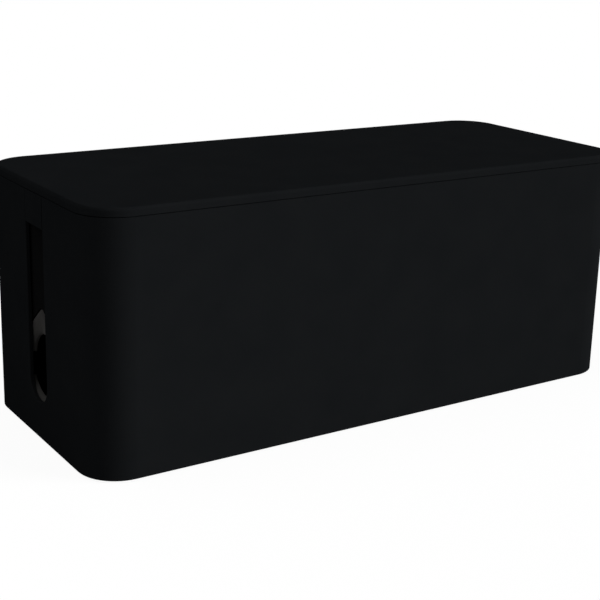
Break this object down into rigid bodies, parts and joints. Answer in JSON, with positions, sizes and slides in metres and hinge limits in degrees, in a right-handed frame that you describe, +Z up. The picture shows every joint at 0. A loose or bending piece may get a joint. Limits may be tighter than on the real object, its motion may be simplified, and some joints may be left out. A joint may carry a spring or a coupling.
{
  "type": "cable management box",
  "caption": "Long rounded box that hides a power strip and its leads: a tub with a cord slot in each end wall and a flat lid whose hanging tongues close the slots down to a cord port.",
  "frame": {"origin": "centre of the footprint on the surface that the feet stand on", "axes": "+X along the box's length, +Y from its front to its back, +Z up"},
  "size_m": [0.4, 0.165, 0.16],
  "materials": {
    "tub_plastic": "satin black moulded plastic",
    "lid_plastic": "satin black moulded plastic",
    "tongue_plastic": "matt black moulded plastic",
    "guard_rubber": "soft dark grey elastomer",
    "foot_rubber": "matt black rubber",
    "screw_steel": "zinc plated steel"
  },
  "bodies": {
    "tub": {"box_tub": "tub_plastic", "left_cord_cradle": "guard_rubber", "right_cord_cradle": "guard_rubber", "foot_front_left": "foot_rubber", "foot_front_right": "foot_rubber", "foot_back_left": "foot_rubber", "foot_back_right": "foot_rubber"},
    "lid": {"lid": "lid_plastic", "left_slot_tongue": "tongue_plastic", "right_slot_tongue": "tongue_plastic", "left_cord_hood": "guard_rubber", "right_cord_hood": "guard_rubber", "left_tongue_screws": "screw_steel", "right_tongue_screws": "screw_steel"}
  },
  "joints": [
    {"name": "lid_lift", "type": "slide", "parent": "tub", "child": "lid", "axis": [0, 0, 1], "range_m": [0, 0.12]}
  ]
}
